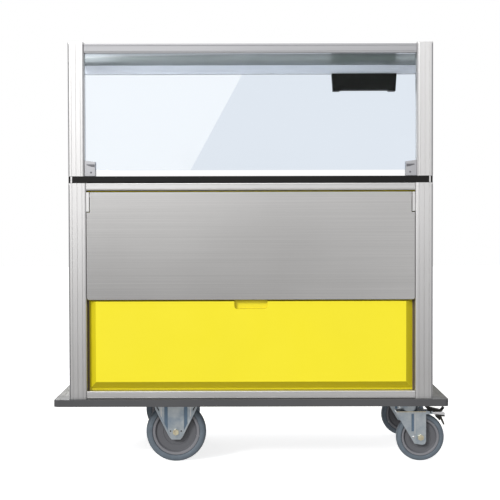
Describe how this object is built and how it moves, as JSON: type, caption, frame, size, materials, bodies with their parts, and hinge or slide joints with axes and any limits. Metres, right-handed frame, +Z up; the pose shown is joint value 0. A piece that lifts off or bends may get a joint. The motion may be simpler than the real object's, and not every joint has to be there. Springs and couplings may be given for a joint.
{
  "type": "food service trolley",
  "caption": "Food service trolley with an aluminium frame, a glazed serving canopy, a fold-up stainless tray slide, food pans and a cupboard on castors.",
  "frame": {"origin": "on the floor, at the middle of the platform", "axes": "+X along the trolley towards the swivel castors, +Y from the guests' side to the staff's side, +Z up"},
  "size_m": [1.291, 0.77, 1.385],
  "materials": {
    "aluminium": "satin anodised extrusion",
    "stainless": "brushed along the trolley",
    "yellow_panel": "smooth semi-gloss moulding",
    "dark_laminate": "matt compact laminate with a polished edge",
    "bumper_grey": "fine matt grain",
    "black_plastic": "matt moulding",
    "glass": "clear safety glass with a light blue tint",
    "zinc": "bright zinc plate, slightly blue",
    "passivated_zinc": "yellow passivated steel",
    "tyre": "blue-grey elastic rubber",
    "rim": "grey moulded wheel centre"
  },
  "bodies": {
    "trolley": {"lower_post_front_left": "aluminium", "lower_post_rear_left": "aluminium", "lower_post_front_right": "aluminium", "lower_post_rear_right": "aluminium", "side_top_rail_left": "aluminium", "side_top_rail_right": "aluminium", "front_top_rail": "aluminium", "front_bottom_rail": "aluminium", "rear_top_rail": "aluminium", "rear_bottom_rail": "aluminium", "upper_post_left": "aluminium", "upper_post_right": "aluminium", "canopy_side_rail_left": "aluminium", "canopy_side_rail_right": "aluminium", "canopy_front_rail": "aluminium", "canopy_rear_rail": "aluminium", "glass_clamp_left": "aluminium", "glass_clamp_right": "aluminium", "flap_hinge_block_left": "aluminium", "flap_hinge_block_right": "aluminium", "cabinet_shelf": "stainless", "well_tub": "stainless", "canopy_panel": "stainless", "front_panel": "yellow_panel", "side_panel_left": "yellow_panel", "side_panel_right": "yellow_panel", "worktop": "dark_laminate", "platform_deck": "bumper_grey", "bumper_frame": "bumper_grey", "control_box": "black_plastic", "glass_pane": "glass", "fixed_castor_front_fork": "zinc", "fixed_castor_front_axle": "passivated_zinc", "fixed_castor_rear_fork": "zinc", "fixed_castor_rear_axle": "passivated_zinc", "swivel_castor_front_top_plate": "zinc", "swivel_castor_rear_top_plate": "zinc"},
    "tray_slide": {"tray_flap": "stainless"},
    "left_door": {"door_left": "yellow_panel", "door_handle_left": "stainless"},
    "right_door": {"door_right": "yellow_panel", "door_handle_right": "stainless"},
    "left_pan": {"food_pan_left": "stainless"},
    "middle_pan": {"food_pan_middle": "stainless"},
    "right_pan": {"food_pan_right": "stainless"},
    "button": {"power_button": "aluminium"},
    "front_fixed_wheel": {"fixed_castor_front_tyre": "tyre", "fixed_castor_front_rim": "rim"},
    "front_swivel": {"swivel_castor_front_fork": "zinc", "swivel_castor_front_axle": "passivated_zinc"},
    "front_swivel_wheel": {"swivel_castor_front_tyre": "tyre", "swivel_castor_front_rim": "rim"},
    "front_brake": {"swivel_castor_front_brake_pedal": "black_plastic"},
    "rear_fixed_wheel": {"fixed_castor_rear_tyre": "tyre", "fixed_castor_rear_rim": "rim"},
    "rear_swivel": {"swivel_castor_rear_fork": "zinc", "swivel_castor_rear_axle": "passivated_zinc"},
    "rear_swivel_wheel": {"swivel_castor_rear_tyre": "tyre", "swivel_castor_rear_rim": "rim"},
    "rear_brake": {"swivel_castor_rear_brake_pedal": "black_plastic"}
  },
  "joints": [
    {"name": "tray_slide_hinge", "type": "hinge", "parent": "trolley", "child": "tray_slide", "pos_m": [0, -0.3535, 0.885], "axis": [-1, 0, 0], "range_deg": [0, 90]},
    {"name": "left_door_hinge", "type": "hinge", "parent": "trolley", "child": "left_door", "pos_m": [-0.5285, 0.346, 0.575], "axis": [0, 0, 1], "range_deg": [0, 90]},
    {"name": "right_door_hinge", "type": "hinge", "parent": "trolley", "child": "right_door", "pos_m": [0.5285, 0.346, 0.575], "axis": [0, 0, -1], "range_deg": [0, 90]},
    {"name": "left_pan_lift", "type": "slide", "parent": "trolley", "child": "left_pan", "axis": [0, 0, 1], "range_m": [0, 0.16]},
    {"name": "middle_pan_lift", "type": "slide", "parent": "trolley", "child": "middle_pan", "axis": [0, 0, 1], "range_m": [0, 0.16]},
    {"name": "right_pan_lift", "type": "slide", "parent": "trolley", "child": "right_pan", "axis": [0, 0, 1], "range_m": [0, 0.16]},
    {"name": "button_press", "type": "slide", "parent": "trolley", "child": "button", "axis": [0, -1, 0], "range_m": [0, 0.003], "stiffness_N_per_m": 400},
    {"name": "front_fixed_wheel_spin", "type": "hinge", "parent": "trolley", "child": "front_fixed_wheel", "pos_m": [-0.2504, -0.27, 0.1], "axis": [0, 1, 0], "continuous": true},
    {"name": "front_swivel_turn", "type": "hinge", "parent": "trolley", "child": "front_swivel", "pos_m": [0.527, -0.27, 0.1675], "axis": [0, 0, 1], "continuous": true},
    {"name": "front_swivel_wheel_spin", "type": "hinge", "parent": "front_swivel", "child": "front_swivel_wheel", "pos_m": [0.564, -0.27, 0.08], "axis": [0, 1, 0], "continuous": true},
    {"name": "front_brake_press", "type": "hinge", "parent": "front_swivel", "child": "front_brake", "pos_m": [0.597, -0.27, 0.1645], "axis": [0, 1, 0], "range_deg": [0, 5]},
    {"name": "rear_fixed_wheel_spin", "type": "hinge", "parent": "trolley", "child": "rear_fixed_wheel", "pos_m": [-0.29, 0.27, 0.1], "axis": [0, 1, 0], "continuous": true},
    {"name": "rear_swivel_turn", "type": "hinge", "parent": "trolley", "child": "rear_swivel", "pos_m": [0.527, 0.27, 0.1675], "axis": [0, 0, 1], "continuous": true},
    {"name": "rear_swivel_wheel_spin", "type": "hinge", "parent": "rear_swivel", "child": "rear_swivel_wheel", "pos_m": [0.564, 0.27, 0.08], "axis": [0, 1, 0], "continuous": true},
    {"name": "rear_brake_press", "type": "hinge", "parent": "rear_swivel", "child": "rear_brake", "pos_m": [0.597, 0.27, 0.1645], "axis": [0, 1, 0], "range_deg": [0, 5]}
  ]
}
